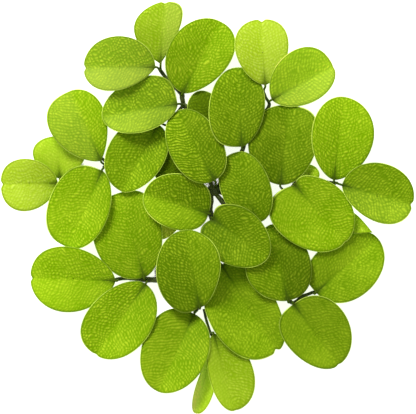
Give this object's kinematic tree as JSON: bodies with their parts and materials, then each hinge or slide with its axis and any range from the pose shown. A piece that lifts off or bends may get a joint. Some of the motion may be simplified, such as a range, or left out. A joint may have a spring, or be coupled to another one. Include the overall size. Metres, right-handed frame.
{
  "type": "floating water fern plant",
  "caption": "Floating water fern with rounded, folded, bumpy leaves overlapping on a branching stem, over short root tufts.",
  "frame": {"origin": "middle of the plant's box, on the surface it lies on", "axes": "+Z away from the surface, +X right and +Y up in the view from above"},
  "size_m": [0.0824, 0.0822, 0.0099],
  "materials": {
    "leaf_bright": "satin, bright green",
    "leaf_mature": "satin, mid green",
    "leaf_pale": "satin, palest lime green",
    "leaf_shaded": "satin, dark green",
    "leaf_yellow": "satin, yellowing green",
    "leaf_young": "satin, lime green",
    "roots": "matt, brown",
    "stem": "matt, dark olive"
  },
  "bodies": {
    "root": {"leaf_01": "leaf_young", "leaf_02": "leaf_young", "leaf_03": "leaf_yellow", "leaf_04": "leaf_bright", "leaf_05": "leaf_shaded", "leaf_06": "leaf_shaded", "leaf_07": "leaf_young", "leaf_08": "leaf_pale", "leaf_09": "leaf_young", "leaf_10": "leaf_mature", "leaf_11": "leaf_young", "leaf_12": "leaf_mature", "leaf_13": "leaf_mature", "leaf_14": "leaf_mature", "leaf_15": "leaf_mature", "leaf_16": "leaf_bright", "leaf_17": "leaf_mature", "leaf_18": "leaf_mature", "leaf_19": "leaf_mature", "leaf_20": "leaf_bright", "leaf_21": "leaf_bright", "leaf_22": "leaf_mature", "leaf_23": "leaf_mature", "leaf_24": "leaf_mature", "leaf_25": "leaf_mature", "leaf_26": "leaf_young", "leaf_27": "leaf_bright", "leaf_28": "leaf_bright", "leaf_29": "leaf_pale", "leaf_30": "leaf_bright", "leaf_31": "leaf_bright", "leaf_32": "leaf_mature", "leaf_33": "leaf_bright", "leaf_34": "leaf_mature", "leaf_35": "leaf_bright", "leaf_36": "leaf_bright", "stem_crown": "stem", "stem_north": "stem", "stem_north_tip": "stem", "stem_west": "stem", "stem_west_tip": "stem", "stem_northeast": "stem", "stem_northeast_tip": "stem", "stem_east": "stem", "stem_east_tip": "stem", "stem_southeast": "stem", "stem_south": "stem", "stem_south_tip": "stem", "stem_southwest": "stem", "root_tuft_01": "roots", "root_tuft_02": "roots", "root_tuft_03": "roots", "root_tuft_04": "roots", "root_tuft_05": "roots", "root_tuft_06": "roots", "root_tuft_07": "roots", "root_tuft_08": "roots", "root_tuft_09": "roots", "root_tuft_10": "roots", "root_tuft_11": "roots"}
  },
  "joints": []
}
